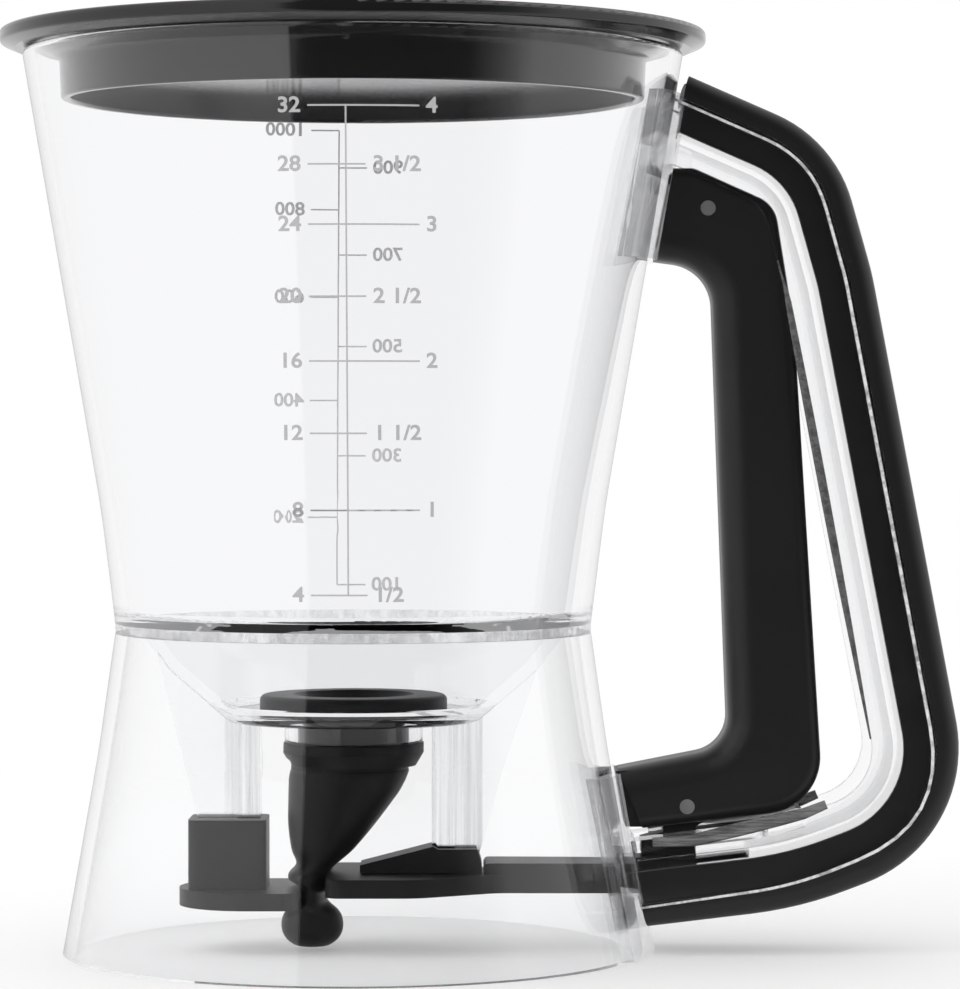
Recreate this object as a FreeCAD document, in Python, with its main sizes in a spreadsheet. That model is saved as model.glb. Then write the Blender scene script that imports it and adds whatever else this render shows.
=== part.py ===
import FreeCAD, Part
import math
import os
import Sketcher
from FreeCAD import Placement, Rotation, Vector

# Pancake batter dispenser: a clear tapered cup on a flared skirt, a pinched silicone valve under the bowl,
# and a handle whose inner grip is a trigger that pulls a slide away from the valve.
# Millimetres. The origin is on the cup's axis at the counter, +X points to the handle and +Z is up.

DIMENSIONS = {
    # clear cup: radii and heights of its outer face, from the rim down to the outlet collar
    "ground": 0.0,
    "bend_round": 200.0,
    "rim_radius": 66.8,
    "rim_height": 182.0,
    "cup_bend_radius": 51.1,
    "cup_bend_height": 90.0,
    "waist_radius": 48.2,
    "waist_height": 66.6,
    "wall": 2.5,
    "rim_round": 1.0,
    "bowl_edge_radius": 41.4,
    "bowl_edge_height": 62.4,
    "bowl_belly_radius": 37.2,
    "bowl_belly_height": 56.8,
    "bowl_floor_radius": 25.2,
    "bowl_floor_height": 46.5,
    "bowl_round": 12.0,
    "bowl_floor_round": 3.0,
    "step_round": 2.0,
    "collar_radius": 14.0,
    "collar_bottom": 42.4,
    "outlet_radius": 11.4,
    # waist weld ring and flared skirt
    "weld_height": 2.0,
    "skirt_bend_radius": 51.4,
    "skirt_bend_height": 42.0,
    "base_radius": 58.8,
    "window_half_width": 8.0,
    "window_bottom": 11.2,
    "window_top": 20.2,
    # clear posts and webs under the bowl
    "fin_half": 1.0,
    "post_half": 3.0,
    "post_width": 4.6,
    "left_post_outer": 23.4,
    "left_fin_top": 40.3,
    "left_fin_foot": 31.6,
    "left_socket_top": 26.9,
    "left_fin_bottom": 19.0,
    "right_post_inner": 15.9,
    "right_fin_top": 38.2,
    "right_fin_knee": 30.9,
    "right_fin_knee_height": 39.0,
    "right_fin_foot": 25.2,
    "right_fin_bottom": 18.6,
    # lid
    "lid_radius": 71.3,
    "lid_top": 186.0,
    "lid_lip": 2.5,
    "lid_gap": 0.3,
    "plug_radius": 58.9,
    "plug_shoulder": 63.9,
    "plug_bottom": 172.0,
    "plug_wall": 2.0,
    "lid_floor": 176.0,
    "plug_edge_round": 0.6,
    "lip_round": 1.0,
    "lid_corner": 1.5,
    "lid_pan_round": 2.5,
    # outer line of the handle: top line, shoulder, back line and lower sweep
    "handle_start_x": 62.0,
    "handle_start_z": 178.95,
    "shoulder_x": 96.8,
    "shoulder_z": 163.7,
    "shoulder_round": 27.0,
    "back_x": 104.3,
    "back_z": 137.0,
    "back_round": 60.0,
    "heel_x": 125.9,
    "heel_z": 23.2,
    "heel_round": 29.0,
    "sweep_x": 90.0,
    "sweep_z": 9.5,
    "sweep_round": 80.0,
    "handle_end_x": 54.0,
    "handle_end_z": 5.2,
    # depths measured inwards from that line, and half widths
    "cap_depth": 4.8,
    "rim_depth": 5.6,
    "rim_half": 12.4,
    "tongue_depth": 11.1,
    "web_depth": 11.3,
    "web_inner": 13.3,
    "floor_depth": 15.0,
    "channel_depth": 17.6,
    "cap_half": 12.5,
    "cap_round": 3.5,
    "channel_half": 12.0,
    "channel_inner": 9.8,
    "tongue_half": 9.6,
    "floor_end": 91.0,
    "floor_slot_start": 40.0,
    "floor_slot_end": 84.0,
    "floor_slot_half": 3.9,
    "slide_room_half": 7.5,
    # saddles that join the frame to the cup and skirt
    "saddle_wall": 2.4,
    "upper_saddle_half": 28.0,
    "upper_saddle_bottom": 139.7,
    "upper_saddle_top": 172.5,
    "upper_saddle_gate": 158.8,
    "lower_saddle_half": 24.0,
    "lower_saddle_bottom": 0.4,
    "lower_saddle_top": 36.6,
    "lower_saddle_gate": 11.2,
    # pivot lug and the two pins
    "pivot_x": 71.4,
    "pivot_z": 150.1,
    "link_x": 67.3,
    "link_z": 29.9,
    "pin_radius": 1.5,
    "pin_play": 0.06,
    "lug_half": 3.0,
    "lug_eye": 3.6,
    "lug_neck_x": 68.4,
    "lug_rise": 12.4,
    # trigger
    "trigger_half": 9.3,
    "trigger_round": 2.4,
    "finger_round": 5.5,
    "trigger_straight": 60.0,
    "trigger_split_x": 84.0,
    "trigger_room_half": 7.2,
    "trigger_slot_half": 4.3,
    # torsion spring on the pivot pin
    "spring_wire": 0.9,
    "spring_radius": 3.1,
    "spring_turns": 3.0,
    "spring_pitch": 1.1,
    "spring_start_y": 3.5,
    "spring_leg_up": 8.5,
    "spring_leg_down": 5.6,
    "spring_lean": -60.0,
    # slide
    "paddle_edge": -5.3,
    "plate_corner": 3.0,
    "shoulder_corner": 12.0,
    "neck_corner": 10.0,
    "bar_corner": 1.0,
    "paddle_half": 17.0,
    "paddle_shoulder_x": 13.0,
    "paddle_neck_x": 29.0,
    "bar_half": 7.0,
    "slide_bottom": 12.2,
    "paddle_top": 15.9,
    "bar_top": 18.2,
    "bar_start_x": 26.4,
    "tail_x": 57.0,
    "bar_end_x": 58.8,
    "tail_bottom": 15.6,
    "tail_top": 19.4,
    "tail_end_x": 69.3,
    "tab_half": 3.3,
    "tab_top": 34.0,
    "tab_step": 23.0,
    "tab_round": 2.0,
    "link_slot_half": 1.65,
    "link_slot_reach": 1.8,
    # slide guide on the right post
    "guide_gap": 0.2,
    "guide_half": 5.0,
    "guide_tip_x": 1.4,
    "guide_tip_top": 17.6,
    "guide_lip_x": 16.2,
    "guide_lip_top": 21.4,
    "guide_flat_x": 17.2,
    "guide_flat_top": 20.8,
    "guide_end_x": 26.0,
    # fixed jaw on the left post
    "jaw_left": -35.4,
    "jaw_edge": -11.0,
    "jaw_half": 14.5,
    "jaw_bottom": 9.4,
    "jaw_top": 12.9,
    "block_left": -33.2,
    "block_right": -17.4,
    "block_half": 7.5,
    "block_corner": 2.0,
    # silicone valve: flange, neck and bead
    "flange_radius": 19.0,
    "flange_top": 52.0,
    "neck_radius": 11.3,
    "bead_radius": 14.25,
    "bead_height": 2.2,
    "throat_wall": 1.7,
    "tip_wall": 2.7,
    "head_overlap": 0.6,
    "bead_round": 0.4,
    "flange_round": 1.2,
    "lip_radius": 1.9,
}

# The valve's body below its bead, from the top down: height, centre in X, half width in X, half width in Y.
SECTIONS = (
    (38.2, -0.7, 12.1, 12.1),
    (35.0, -1.1, 11.8, 11.9),
    (30.5, -2.6, 10.4, 11.5),
    (25.5, -4.5, 8.5, 11.1),
    (20.6, -6.3, 6.1, 10.6),
    (17.8, -7.6, 4.0, 10.3),
    (16.4, -8.4, 2.7, 10.1),
    (13.2, -8.55, 2.1, 9.8),
    (9.6, -8.5, 2.2, 9.0),
    (8.2, -8.4, 4.6, 7.8),
    (5.6, -8.4, 6.0, 6.9),
    (2.8, -8.4, 5.4, 6.0),
    (1.0, -8.4, 3.4, 3.8),
)
SECTION_MEASURES = ("height", "centre", "half_wide", "half_deep")
THROAT_SECTIONS = 5
TIP_SECTIONS = 4

# Side outlines in the middle plane, corner by corner: X, height and the radius of a rounded corner.
OUTLINES = {
    "trigger": (
        (64.5, 158.2),
        (68.6, 158.2, 3.0),
        (84.9, 150.9, 6.5),
        (88.9, 126.0, 60.0),
        (94.9, 29.6, 11.5),
        (58.4, 25.4),
        (53.5, 37.2),
        (75.9, 41.6, 7.5),
        (72.3, 138.2, 9.0),
        (60.9, 139.7),
    ),
    "head_room": (
        (50.0, 142.8),
        (79.0, 142.8, 2.0),
        (79.0, 151.5, 1.0),
        (69.5, 155.8),
        (69.5, 165.0),
        (50.0, 165.0),
    ),
    "foot_room": (
        (45.0, 20.0),
        (77.5, 20.0),
        (77.5, 36.4, 2.0),
        (45.0, 33.4),
    ),
}
OUTLINE_MEASURES = ("x", "z", "round")
LETTERS = "abcdefghijklmnop"


class Size:
    """A length that knows its value and the sheet expression that it comes from."""

    def __init__(self, value, text):
        self.value = value
        self.text = text

    def join(self, other, sign, value):
        other_text = other.text if isinstance(other, Size) else repr(float(other))
        return Size(value, f"({self.text} {sign} {other_text})")

    def __add__(self, other):
        return self.join(other, "+", self.value + number(other))

    def __sub__(self, other):
        return self.join(other, "-", self.value - number(other))

    def __mul__(self, factor):
        return self.join(factor, "*", self.value * number(factor))

    def __neg__(self):
        return self * -1.0


def number(size):
    return size.value if isinstance(size, Size) else float(size)


class Dimensions:
    """The spreadsheet, read by name."""

    def __init__(self, doc, values):
        self.sheet = doc.addObject("Spreadsheet::Sheet", "dims")
        self.values = dict(values)
        for row, (alias, value) in enumerate(values.items(), start=1):
            self.sheet.set(f"A{row}", alias.replace("_", " "))
            self.sheet.set(f"B{row}", str(value))
            self.sheet.setAlias(f"B{row}", alias)
        doc.recompute()

    def __getattr__(self, alias):
        return Size(self.values[alias], f"dims.{alias}")


def table_cells(name, rows, measures):
    """The numbers of a table as cells, named by table, measure and row."""
    cells = {}
    for letter, row in zip(LETTERS, rows):
        for measure, value in zip(measures, row):
            cells[f"{name}_{measure}_{letter}"] = value
    return cells


def all_cells():
    cells = {**DIMENSIONS, **table_cells("section", SECTIONS, SECTION_MEASURES)}
    for name, corners in OUTLINES.items():
        cells.update(table_cells(name, corners, OUTLINE_MEASURES))
    return cells


def traced(name):
    """The corners of a side outline, as cells of the sheet."""
    corners = []
    for letter, row in zip(LETTERS, OUTLINES[name]):
        corners.append(tuple(getattr(dim, f"{name}_{measure}_{letter}") for measure, _ in zip(OUTLINE_MEASURES, row)))
    return corners


doc = FreeCAD.newDocument("batter_dispenser")
dim = Dimensions(doc, all_cells())
nodes = {}


def keep(name, item):
    """Name a finished sub-part."""
    item.Label = name
    nodes[name] = item
    return item


def bind(item, **sizes):
    """Tie properties of an object to the sheet."""
    for prop, size in sizes.items():
        if isinstance(size, Size):
            item.setExpression(prop, size.text)
        else:
            setattr(item, prop, size)


def plane(body, role):
    return next(item for item in body.Origin.OriginFeatures if item.Role == role)


def new_sketch(body, name, role, height=None):
    sketch = body.newObject("Sketcher::SketchObject", name)
    sketch.AttachmentSupport = [(plane(body, role), "")]
    sketch.MapMode = "FlatFace"
    if height is not None:
        sketch.setExpression("AttachmentOffset.Base.z", height.text)
    return sketch


def drive(sketch, kind, geometry, *rest):
    """Add a constraint whose last value is a Size."""
    size = rest[-1]
    index = sketch.addConstraint(Sketcher.Constraint(kind, geometry, *rest[:-1], number(size)))
    if isinstance(size, Size):
        sketch.setExpression(f"Constraints[{index}]", size.text)


def corner_frame(before, here, after, radius):
    """Where an arc of this radius touches the two lines at a corner, with its centre and sense."""
    into = (here - before).normalize()
    out = (after - here).normalize()
    turn = math.atan2(into.cross(out).z, into.dot(out))
    reach = radius * math.tan(abs(turn) / 2)
    start = here - into * reach
    end = here + out * reach
    side = 1 if turn > 0 else -1
    centre = start + Vector(-into.y, into.x, 0) * (radius * side)
    return start, end, centre, side


def outline(sketch, corners):
    """Close a loop through corners of (x, y) or (x, y, radius), each tied to the sheet."""
    count = len(corners)
    points = [Vector(number(c[0]), number(c[1]), 0) for c in corners]
    radii = [number(c[2]) if len(c) > 2 else 0.0 for c in corners]
    ends = []
    for i in range(count):
        if radii[i] > 0:
            ends.append(corner_frame(points[i - 1], points[i], points[(i + 1) % count], radii[i]))
        else:
            ends.append((points[i], points[i], None, 0))
    lines = []
    for i in range(count):
        line = Part.LineSegment(ends[i][1], ends[(i + 1) % count][0])
        lines.append(sketch.addGeometry(line, False))
    for i in range(count):
        before, after = lines[i - 1], lines[i]
        x, y = corners[i][0], corners[i][1]
        if radii[i] > 0:
            round_corner(sketch, corners[i], ends[i], before, after)
        else:
            sketch.addConstraint(Sketcher.Constraint("Coincident", before, 2, after, 1))
            drive(sketch, "DistanceX", after, 1, x)
            drive(sketch, "DistanceY", after, 1, y)


def round_corner(sketch, corner, frame, before, after):
    """An arc between two lines whose corner is a construction point."""
    start, end, centre, side = frame
    radius = number(corner[2])
    first, last = (start, end) if side > 0 else (end, start)
    angles = [math.atan2(p.y - centre.y, p.x - centre.x) for p in (first, last)]
    if angles[1] < angles[0]:
        angles[1] += 2 * math.pi
    circle = Part.Circle(centre, Vector(0, 0, 1), radius)
    arc = sketch.addGeometry(Part.ArcOfCircle(circle, *angles), False)
    mark = sketch.addGeometry(Part.Point(Vector(number(corner[0]), number(corner[1]), 0)), True)
    drive(sketch, "DistanceX", mark, 1, corner[0])
    drive(sketch, "DistanceY", mark, 1, corner[1])
    sketch.addConstraint(Sketcher.Constraint("PointOnObject", mark, 1, before))
    sketch.addConstraint(Sketcher.Constraint("PointOnObject", mark, 1, after))
    arc_in, arc_out = (1, 2) if side > 0 else (2, 1)
    sketch.addConstraint(Sketcher.Constraint("Tangent", before, 2, arc, arc_in))
    sketch.addConstraint(Sketcher.Constraint("Tangent", arc, arc_out, after, 1))
    drive(sketch, "Radius", arc, corner[2])


def turned(name, corners):
    """A body turned about Z from a closed profile of radius and height."""
    body = doc.addObject("PartDesign::Body", name + "_body")
    sketch = new_sketch(body, name + "_profile", "XZ_Plane")
    outline(sketch, corners)
    turn = body.newObject("PartDesign::Revolution", name + "_turn")
    turn.Profile = sketch
    turn.ReferenceAxis = (sketch, ["V_Axis"])
    turn.Angle = 360.0
    return body


def padded(name, role, corners, length, base=None, midplane=False, holes=()):
    """A body padded from a closed outline, from a height or both ways from its plane."""
    body = doc.addObject("PartDesign::Body", name + "_body")
    sketch = new_sketch(body, name + "_outline", role, base)
    outline(sketch, corners)
    for x, y, radius in holes:
        ring = sketch.addGeometry(Part.Circle(Vector(number(x), number(y), 0), Vector(0, 0, 1), number(radius)))
        drive(sketch, "DistanceX", ring, 3, x)
        drive(sketch, "DistanceY", ring, 3, y)
        drive(sketch, "Radius", ring, radius)
    pad = body.newObject("PartDesign::Pad", name + "_pad")
    pad.Profile = sketch
    if midplane:
        pad.SideType = "Symmetric"
    bind(pad, Length=length)
    return body


def plate(name, corners, half, holes=()):
    """A piece cut to its side outline, both ways from the middle plane."""
    return padded(name, "XZ_Plane", corners, half * 2.0, midplane=True, holes=holes)


def slab(name, corners, bottom, top):
    """A piece with its plan outline between two heights."""
    return padded(name, "XY_Plane", corners, top - bottom, base=bottom)


def block(name, low, high):
    """A box between two corners, as a cutter or a plain piece."""
    item = doc.addObject("Part::Box", name)
    sides = [b - a if isinstance(b, Size) else Size(b, repr(float(b))) - a for a, b in zip(low, high)]
    bind(item, Length=sides[0], Width=sides[1], Height=sides[2])
    for axis, at in zip("xyz", low):
        if isinstance(at, Size):
            item.setExpression(f"Placement.Base.{axis}", at.text)
        else:
            item.setExpression(f"Placement.Base.{axis}", repr(float(at)))
    return item


def rod(name, x, z, radius, half):
    """A round bar along Y through a point of the middle plane."""
    item = doc.addObject("Part::Cylinder", name)
    item.Placement = Placement(Vector(number(x), -number(half), number(z)), Rotation(Vector(1, 0, 0), -90))
    bind(item, Radius=radius, Height=half * 2.0)
    item.setExpression("Placement.Base.x", x.text)
    item.setExpression("Placement.Base.y", (-half).text)
    item.setExpression("Placement.Base.z", z.text)
    return item


def cut(name, base, *tools):
    for index, tool in enumerate(tools):
        item = doc.addObject("Part::Cut", f"{name}_cut{index}")
        item.Base = base
        item.Tool = tool
        base = item
    return base


def fuse(name, *pieces):
    item = doc.addObject("Part::MultiFuse", name + "_fused")
    item.Shapes = list(pieces)
    item.Refine = True
    return item


def common(name, base, tool):
    item = doc.addObject("Part::Common", name + "_common")
    item.Base = base
    item.Tool = tool
    return item


def rounded(name, base, radius, wanted):
    """Fillet the edges of a finished shape that a test picks out."""
    doc.recompute()
    item = doc.addObject("Part::Fillet", name + "_rounded")
    item.Base = base
    size = number(radius)
    picked = [i for i, edge in enumerate(base.Shape.Edges, start=1) if wanted(edge)]
    item.Edges = [(i, size, size) for i in picked]
    return item


def body_line(extra=0.0):
    """The outer line of cup and skirt from the rim down, pushed out by a wall."""
    return [
        (dim.rim_radius + extra, dim.rim_height),
        (dim.cup_bend_radius + extra, dim.cup_bend_height, dim.bend_round),
        (dim.waist_radius + extra, dim.waist_height),
        (dim.waist_radius + extra, dim.waist_height - dim.weld_height),
        (dim.skirt_bend_radius + extra, dim.skirt_bend_height, dim.bend_round),
        (dim.base_radius + extra, dim.ground),
    ]


def solid_form(name, extra):
    """Everything inside the cup and skirt's outer line, for seating pieces against it."""
    zero = dim.ground
    return turned(name, [(zero, dim.rim_height)] + body_line(extra) + [(zero, zero)])


def make_cup():
    inner_floor = dim.bowl_floor_height + dim.wall
    profile = [
        (dim.outlet_radius, dim.collar_bottom),
        (dim.collar_radius, dim.collar_bottom),
        (dim.collar_radius, dim.bowl_floor_height),
        (dim.bowl_floor_radius, dim.bowl_floor_height, dim.bowl_floor_round),
        (dim.bowl_belly_radius, dim.bowl_belly_height, dim.bowl_round),
        (dim.bowl_edge_radius, dim.bowl_edge_height),
        (dim.waist_radius - dim.wall - 0.8, dim.waist_height),
        (dim.waist_radius, dim.waist_height),
        (dim.cup_bend_radius, dim.cup_bend_height, dim.bend_round),
        (dim.rim_radius, dim.rim_height, dim.rim_round),
        (dim.rim_radius - dim.wall, dim.rim_height, dim.rim_round),
        (dim.cup_bend_radius - dim.wall, dim.cup_bend_height, dim.bend_round),
        (dim.waist_radius - dim.wall, dim.waist_height + dim.wall * 0.9, dim.step_round),
        (dim.bowl_edge_radius - dim.wall * 0.8, dim.bowl_edge_height + dim.wall * 0.6, dim.bowl_floor_round),
        (dim.bowl_belly_radius - dim.wall * 0.7, dim.bowl_belly_height + dim.wall * 0.8, dim.bowl_round - dim.wall),
        (dim.bowl_floor_radius - dim.wall * 0.3, inner_floor, dim.step_round),
        (dim.outlet_radius, inner_floor),
    ]
    return keep("cup", turned("cup", profile))


def make_waist_ring():
    low = dim.waist_height - dim.weld_height
    return keep("waist_ring", turned("waist_ring", [
        (dim.waist_radius - dim.wall, low),
        (dim.waist_radius, low),
        (dim.waist_radius, dim.waist_height),
        (dim.waist_radius - dim.wall, dim.waist_height),
    ]))


def make_skirt():
    top = dim.waist_height - dim.weld_height
    foot = dim.ground
    shell = turned("skirt", [
        (dim.waist_radius - dim.wall, top),
        (dim.skirt_bend_radius - dim.wall, dim.skirt_bend_height, dim.bend_round),
        (dim.base_radius - dim.wall, foot),
        (dim.base_radius, foot),
        (dim.skirt_bend_radius, dim.skirt_bend_height, dim.bend_round),
        (dim.waist_radius, top),
    ])
    window = block(
        "slide_window",
        (40.0, -dim.window_half_width, dim.window_bottom),
        (70.0, dim.window_half_width, dim.window_top),
    )
    return keep("skirt", cut("skirt", shell, window))


def make_fins(cup):
    """Posts and webs that stand in the bowl's underside and carry the two black fittings."""
    under_floor = dim.bowl_floor_height + dim.wall * 0.5
    belly = (dim.bowl_belly_radius - 0.9, dim.bowl_belly_height + 1.0)
    edge = (dim.bowl_edge_radius - 0.9, dim.bowl_edge_height + 0.4)
    post_in = dim.left_post_outer - dim.post_width
    left_web = plate("left_web", [
        (-dim.left_fin_foot, dim.left_fin_bottom),
        (-post_in, dim.left_fin_bottom),
        (-post_in, under_floor),
        (-dim.bowl_floor_radius + 1.2, under_floor),
        (-belly[0], belly[1]),
        (-edge[0], edge[1]),
        (-dim.left_fin_top, edge[1] - 1.0),
        (-dim.left_fin_foot, dim.left_socket_top),
    ], dim.fin_half)
    left_post = block(
        "left_post",
        (-dim.left_post_outer, -dim.post_half, dim.left_fin_bottom),
        (-post_in, dim.post_half, under_floor),
    )
    right_web = plate("right_web", [
        (dim.right_post_inner, dim.right_fin_bottom),
        (dim.right_fin_foot, dim.right_fin_bottom),
        (dim.right_fin_knee, dim.right_fin_knee_height),
        (dim.right_fin_top, edge[1] - 3.0),
        (edge[0], edge[1]),
        (belly[0], belly[1]),
        (dim.bowl_floor_radius - 1.2, under_floor),
        (dim.right_post_inner, under_floor),
    ], dim.fin_half)
    right_post = block(
        "right_post",
        (dim.right_post_inner, -dim.post_half, dim.right_fin_bottom),
        (dim.right_post_inner + dim.post_width, dim.post_half, under_floor),
    )
    left = keep("left_fin", cut("left_fin", fuse("left_fin", left_web, left_post), cup))
    right = keep("right_fin", cut("right_fin", fuse("right_fin", right_web, right_post), cup))
    return left, right


def make_lid():
    under = dim.rim_height + dim.lid_gap
    floor_top = dim.lid_floor + dim.plug_wall
    zero = dim.ground
    keep("lid", turned("lid", [
        (zero, dim.lid_floor),
        (dim.plug_radius - dim.plug_wall, dim.lid_floor),
        (dim.plug_radius - dim.plug_wall, dim.plug_bottom, dim.plug_edge_round),
        (dim.plug_radius, dim.plug_bottom, dim.plug_edge_round),
        (dim.plug_radius + 0.3, under - 2.4, dim.lid_corner),
        (dim.plug_shoulder, under),
        (dim.lid_radius - 3.0, under),
        (dim.lid_radius, dim.lid_top - dim.lid_lip, dim.lip_round),
        (dim.lid_radius, dim.lid_top, dim.lip_round),
        (dim.plug_radius + 1.6, dim.lid_top, dim.lid_corner),
        (dim.plug_radius - dim.plug_wall, floor_top, dim.lid_pan_round),
        (zero, floor_top),
    ]))


def handle_path():
    """The handle's outer line as corners with their radii and the way inwards at each."""
    corners = [
        (dim.handle_start_x, dim.handle_start_z, None),
        (dim.shoulder_x, dim.shoulder_z, dim.shoulder_round),
        (dim.back_x, dim.back_z, dim.back_round),
        (dim.heel_x, dim.heel_z, dim.heel_round),
        (dim.sweep_x, dim.sweep_z, dim.sweep_round),
        (dim.handle_end_x, dim.handle_end_z, None),
    ]
    points = [Vector(number(x), number(z), 0) for x, z, _ in corners]
    runs = [(b - a).normalize() for a, b in zip(points, points[1:])]
    normals = [Vector(run.y, -run.x, 0) for run in runs]
    inwards = [normals[0]]
    for one, two in zip(normals, normals[1:]):
        inwards.append((one + two) * (1 / (1 + one.dot(two))))
    inwards.append(normals[-1])
    return list(zip(corners, inwards))


def band(name, near, far, half):
    """A strip of the handle between two depths from its outer line."""
    outer, inner = [], []
    for (x, z, radius), way in handle_path():
        for side, depth in ((outer, near), (inner, far)):
            corner = [x + depth * way.x, z + depth * way.y]
            if radius is not None:
                corner.append(radius - depth)
            side.append(tuple(corner))
    return plate(name, outer + inner[::-1], half)


def make_saddles(form, wide_form):
    """Clear wings that hug the cup and the skirt on each side of the handle."""
    upper_zone = block(
        "upper_zone",
        (20.0, -dim.upper_saddle_half, dim.upper_saddle_bottom),
        (90.0, dim.upper_saddle_half, dim.upper_saddle_top),
    )
    upper_gate = block(
        "upper_gate",
        (20.0, -dim.channel_inner, dim.upper_saddle_bottom - 1.0),
        (90.0, dim.channel_inner, dim.upper_saddle_gate),
    )
    lower_zone = block(
        "lower_zone",
        (20.0, -dim.lower_saddle_half, dim.lower_saddle_bottom),
        (90.0, dim.lower_saddle_half, dim.lower_saddle_top),
    )
    lower_gate = block(
        "lower_gate",
        (20.0, -dim.channel_inner, dim.lower_saddle_gate),
        (90.0, dim.channel_inner, dim.lower_saddle_top + 1.0),
    )
    upper = common("upper_saddle", wide_form, upper_zone)
    lower = common("lower_saddle", wide_form, lower_zone)
    keep("upper_saddle", cut("upper_saddle", upper, form, upper_gate))
    keep("lower_saddle", cut("lower_saddle", lower, form, lower_gate))


def slide_rooms():
    """The room that the slide's end moves in, stepped like the slide itself."""
    low = block(
        "slide_room_low",
        (45.0, -dim.slide_room_half, dim.slide_bottom - 0.3),
        (dim.bar_end_x + 9.2, dim.slide_room_half, 40.0),
    )
    high = block(
        "slide_room_high",
        (45.0, -dim.slide_room_half, dim.tail_bottom - 0.4),
        (dim.tail_end_x + 10.5, dim.slide_room_half, 40.0),
    )
    return low, high


def make_frame(wide_form, rooms):
    """Clear channel: two side walls, a web between them, a slotted floor in the lower arm and the pivot lug."""
    outer = band("frame_outer", dim.cap_depth, dim.channel_depth, dim.channel_half)
    inner = band("frame_inner", dim.cap_depth - 1.0, dim.channel_depth + 1.0, dim.channel_inner)
    walls = cut("frame_walls", outer, inner)
    web = cut("frame_web", band("frame_web", dim.web_depth, dim.web_inner, dim.channel_inner + 0.2), *rooms)
    floor_band = band("frame_floor", dim.floor_depth, dim.channel_depth, dim.channel_inner + 0.2)
    floor_zone = block("floor_zone", (30.0, -20.0, 0.0), (dim.floor_end, 20.0, 60.0))
    slot = slab("floor_slot", [
        (dim.floor_slot_start, -dim.floor_slot_half),
        (dim.floor_slot_end, -dim.floor_slot_half, dim.floor_slot_half - 0.2),
        (dim.floor_slot_end, dim.floor_slot_half, dim.floor_slot_half - 0.2),
        (dim.floor_slot_start, dim.floor_slot_half),
    ], dim.slide_bottom, dim.link_z + 10.0)
    floor = cut("frame_floor", common("frame_floor", floor_band, floor_zone), slot)
    rim = cut("frame_rim", band("frame_rim", dim.cap_depth, dim.rim_depth, dim.rim_half), inner)
    frame = cut("handle_frame", fuse("handle_frame", walls, web, floor, rim, make_lug()), wide_form)
    return keep("handle_frame", frame)


def make_lug():
    """Plate that hangs from the top arm into the trigger's head and holds the pivot pin."""
    left, right = dim.pivot_x - dim.lug_eye, dim.pivot_x + dim.lug_eye
    low, high = dim.pivot_z - dim.lug_eye, dim.pivot_z + dim.lug_eye
    eye_round = dim.lug_eye - 0.05
    return plate("lug", [
        (dim.lug_neck_x - 6.5, dim.pivot_z + dim.lug_rise + 2.7),
        (dim.lug_neck_x, dim.pivot_z + dim.lug_rise),
        (dim.lug_neck_x, high + 0.4),
        (right, high, eye_round),
        (right, low, eye_round),
        (left, low, eye_round),
        (dim.lug_neck_x - 4.2, dim.pivot_z + 7.0),
    ], dim.lug_half, holes=[(dim.pivot_x, dim.pivot_z, dim.pin_radius)])


def make_grip(wide_form, rooms):
    """Black outer grip: a soft cap over the channel's edges with a tongue between its walls."""
    cap = band("grip_cap", dim.ground, dim.cap_depth, dim.cap_half)
    doc.recompute()
    soft = rounded("grip_cap", cap, dim.cap_round, on_outer_line)
    tongue = cut("grip_tongue", band("grip_tongue", dim.cap_depth, dim.tongue_depth, dim.tongue_half), *rooms)
    grip = cut("handle_grip", fuse("handle_grip", soft, tongue), wide_form)
    return keep("handle_grip", grip)


def on_outer_line(edge):
    """Is this a long side edge of the grip that lies on the handle's outer line?"""
    start, end = edge.ParameterRange
    if edge.Length < 5.0:
        return False
    for part in (0.1, 0.5, 0.9):
        point = edge.valueAt(start + (end - start) * part)
        if abs(abs(point.y) - number(dim.cap_half)) > 0.01 or outer_distance(point) > 0.02:
            return False
    return True


def outer_distance(point):
    flat = Part.Vertex(Vector(point.x, 0, point.z))
    return outer_wire().distToShape(flat)[0]


def outer_wire():
    """The handle's outer line itself, as edges."""
    if "wire" not in outer_wire.made:
        path = [item[0] for item in handle_path()]
        points = [Vector(number(x), number(z), 0) for x, z, _ in path]
        edges = []
        last = points[0]
        for i in range(1, len(points) - 1):
            start, end, centre, side = corner_frame(points[i - 1], points[i], points[i + 1], number(path[i][2]))
            middle = centre + (points[i] - centre).normalize() * number(path[i][2])
            edges.append(Part.makeLine(stand(last), stand(start)))
            edges.append(Part.Arc(stand(start), stand(middle), stand(end)).toShape())
            last = end
        edges.append(Part.makeLine(stand(last), stand(points[-1])))
        outer_wire.made["wire"] = Part.Wire(edges)
    return outer_wire.made["wire"]


outer_wire.made = {}


def stand(point):
    """A point of a side outline, in the middle plane."""
    return Vector(point.x, 0, point.y)


def make_trigger():
    """Black inner grip, hollow at its head for the lug and spring and at its foot for the slide's tab."""
    side = plate("trigger", traced("trigger"), dim.trigger_half)
    full = rounded("trigger_palm", side, dim.finger_round, finger_edge)
    grip = rounded("trigger_back", full, dim.trigger_round, back_edge)
    head_room = plate("head_room", traced("head_room"), dim.trigger_room_half)
    foot_room = plate("foot_room", traced("foot_room"), dim.trigger_slot_half)
    pivot_bore = rod("pivot_bore", dim.pivot_x, dim.pivot_z, dim.pin_radius + dim.pin_play, dim.trigger_half + 1.0)
    link_bore = rod("link_bore", dim.link_x, dim.link_z, dim.pin_radius, dim.trigger_half + 1.0)
    keep("trigger", cut("trigger", grip, head_room, foot_room, pivot_bore, link_bore))


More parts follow.
